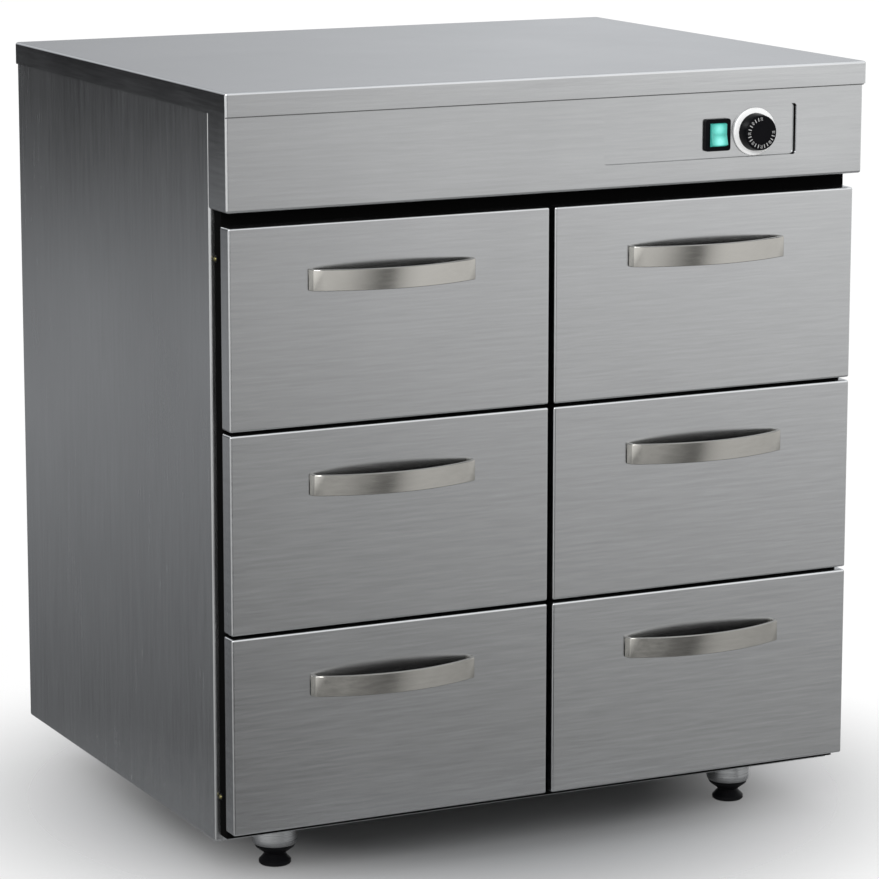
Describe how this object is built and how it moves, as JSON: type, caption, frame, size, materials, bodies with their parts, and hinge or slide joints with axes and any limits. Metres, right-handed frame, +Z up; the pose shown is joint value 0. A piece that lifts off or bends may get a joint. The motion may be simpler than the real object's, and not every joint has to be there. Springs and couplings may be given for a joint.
{
  "type": "warming cabinet",
  "caption": "Floor-standing stainless warming cabinet with heated drawers in two columns, bow handles, a control fascia with switch and dial, a flat worktop and adjustable feet.",
  "frame": {"origin": "on the floor, under the middle of the whole object with its handles", "axes": "+Z up, -Y the way the drawers open, +X to the right as one faces the drawers"},
  "size_m": [0.8, 0.668, 0.896],
  "materials": {
    "black_coated_steel": "steel with a matt black coat",
    "black_plastic": "satin black plastic",
    "brushed_steel": "stainless sheet with a straight brushed grain",
    "element_steel": "dull heat-darkened tube",
    "insulation_wool": "mineral wool slab",
    "liner_steel": "plain stainless sheet",
    "lit_green_lens": "green lens with a lamp behind it",
    "satin_nickel": "satin nickel with a fine brushed grain",
    "seal_rubber": "matt black rubber",
    "white_plastic": "white plastic",
    "zinc_slides": "zinc-plated sheet"
  },
  "bodies": {
    "lower_left_drawer": {"lower_left_drawer_front": "brushed_steel", "lower_left_handle": "satin_nickel", "lower_left_drawer_box": "liner_steel"},
    "lower_left_slides": {"lower_left_outer_slide": "zinc_slides", "lower_left_inner_slide": "zinc_slides"},
    "lower_right_drawer": {"lower_right_drawer_front": "brushed_steel", "lower_right_handle": "satin_nickel", "lower_right_drawer_box": "liner_steel"},
    "lower_right_slides": {"lower_right_outer_slide": "zinc_slides", "lower_right_inner_slide": "zinc_slides"},
    "middle_left_drawer": {"middle_left_drawer_front": "brushed_steel", "middle_left_handle": "satin_nickel", "middle_left_drawer_box": "liner_steel"},
    "middle_left_slides": {"middle_left_outer_slide": "zinc_slides", "middle_left_inner_slide": "zinc_slides"},
    "middle_right_drawer": {"middle_right_drawer_front": "brushed_steel", "middle_right_handle": "satin_nickel", "middle_right_drawer_box": "liner_steel"},
    "middle_right_slides": {"middle_right_outer_slide": "zinc_slides", "middle_right_inner_slide": "zinc_slides"},
    "upper_left_drawer": {"upper_left_drawer_front": "brushed_steel", "upper_left_handle": "satin_nickel", "upper_left_drawer_box": "liner_steel"},
    "upper_left_slides": {"upper_left_outer_slide": "zinc_slides", "upper_left_inner_slide": "zinc_slides"},
    "upper_right_drawer": {"upper_right_drawer_front": "brushed_steel", "upper_right_handle": "satin_nickel", "upper_right_drawer_box": "liner_steel"},
    "upper_right_slides": {"upper_right_outer_slide": "zinc_slides", "upper_right_inner_slide": "zinc_slides"},
    "foot_front_left": {"foot_front_left": "black_coated_steel"},
    "foot_front_right": {"foot_front_right": "black_coated_steel"},
    "foot_back_left": {"foot_back_left": "black_coated_steel"},
    "foot_back_right": {"foot_back_right": "black_coated_steel"},
    "rocker": {"switch_rocker": "lit_green_lens"},
    "knob": {"thermostat_knob": "black_plastic"},
    "cabinet": {"back_liner": "liner_steel", "back_panel": "brushed_steel", "base_panel": "brushed_steel", "cable_gland": "black_plastic", "chamber_ceiling": "liner_steel", "control_fascia": "brushed_steel", "dial_ring": "white_plastic", "foot_cup_back_left": "brushed_steel", "foot_cup_back_right": "brushed_steel", "foot_cup_front_left": "brushed_steel", "foot_cup_front_right": "brushed_steel", "front_frame": "brushed_steel", "front_seal": "seal_rubber", "heating_element": "element_steel", "left_centre_runner_panel": "liner_steel", "left_runner_panel": "liner_steel", "left_side_panel": "brushed_steel", "right_centre_runner_panel": "liner_steel", "right_runner_panel": "liner_steel", "right_side_panel": "brushed_steel", "switch_housing": "black_plastic", "thermostat": "black_plastic", "wall_insulation": "insulation_wool", "worktop": "brushed_steel"}
  },
  "joints": [
    {"name": "lower_left_drawer_slide", "type": "slide", "parent": "cabinet", "child": "lower_left_drawer", "axis": [0, -1, 0], "range_m": [0, 0.45]},
    {"name": "lower_left_middle_slide", "type": "slide", "parent": "cabinet", "child": "lower_left_slides", "axis": [0, -1, 0], "range_m": [0, 0.225]},
    {"name": "lower_right_drawer_slide", "type": "slide", "parent": "cabinet", "child": "lower_right_drawer", "axis": [0, -1, 0], "range_m": [0, 0.45]},
    {"name": "lower_right_middle_slide", "type": "slide", "parent": "cabinet", "child": "lower_right_slides", "axis": [0, -1, 0], "range_m": [0, 0.225]},
    {"name": "middle_left_drawer_slide", "type": "slide", "parent": "cabinet", "child": "middle_left_drawer", "axis": [0, -1, 0], "range_m": [0, 0.45]},
    {"name": "middle_left_middle_slide", "type": "slide", "parent": "cabinet", "child": "middle_left_slides", "axis": [0, -1, 0], "range_m": [0, 0.225]},
    {"name": "middle_right_drawer_slide", "type": "slide", "parent": "cabinet", "child": "middle_right_drawer", "axis": [0, -1, 0], "range_m": [0, 0.45]},
    {"name": "middle_right_middle_slide", "type": "slide", "parent": "cabinet", "child": "middle_right_slides", "axis": [0, -1, 0], "range_m": [0, 0.225]},
    {"name": "upper_left_drawer_slide", "type": "slide", "parent": "cabinet", "child": "upper_left_drawer", "axis": [0, -1, 0], "range_m": [0, 0.45]},
    {"name": "upper_left_middle_slide", "type": "slide", "parent": "cabinet", "child": "upper_left_slides", "axis": [0, -1, 0], "range_m": [0, 0.225]},
    {"name": "upper_right_drawer_slide", "type": "slide", "parent": "cabinet", "child": "upper_right_drawer", "axis": [0, -1, 0], "range_m": [0, 0.45]},
    {"name": "upper_right_middle_slide", "type": "slide", "parent": "cabinet", "child": "upper_right_slides", "axis": [0, -1, 0], "range_m": [0, 0.225]},
    {"name": "foot_front_left_screw", "type": "slide", "parent": "cabinet", "child": "foot_front_left", "axis": [0, 0, -1], "range_m": [0, 0.02]},
    {"name": "foot_front_right_screw", "type": "slide", "parent": "cabinet", "child": "foot_front_right", "axis": [0, 0, -1], "range_m": [0, 0.02]},
    {"name": "foot_back_left_screw", "type": "slide", "parent": "cabinet", "child": "foot_back_left", "axis": [0, 0, -1], "range_m": [0, 0.02]},
    {"name": "foot_back_right_screw", "type": "slide", "parent": "cabinet", "child": "foot_back_right", "axis": [0, 0, -1], "range_m": [0, 0.02]},
    {"name": "rocker_tilt", "type": "hinge", "parent": "cabinet", "child": "rocker", "pos_m": [0.2072, -0.3095, 0.8197], "axis": [1, 0, 0], "range_deg": [0, 14]},
    {"name": "knob_turn", "type": "hinge", "parent": "cabinet", "child": "knob", "pos_m": [0.2562, -0.3106, 0.821], "axis": [0, 1, 0], "range_deg": [0, 270]}
  ],
  "couplings": [
    {"joint": "lower_left_middle_slide", "follows": "lower_left_drawer_slide", "ratio": 0.5},
    {"joint": "lower_right_middle_slide", "follows": "lower_right_drawer_slide", "ratio": 0.5},
    {"joint": "middle_left_middle_slide", "follows": "middle_left_drawer_slide", "ratio": 0.5},
    {"joint": "middle_right_middle_slide", "follows": "middle_right_drawer_slide", "ratio": 0.5},
    {"joint": "upper_left_middle_slide", "follows": "upper_left_drawer_slide", "ratio": 0.5},
    {"joint": "upper_right_middle_slide", "follows": "upper_right_drawer_slide", "ratio": 0.5}
  ]
}
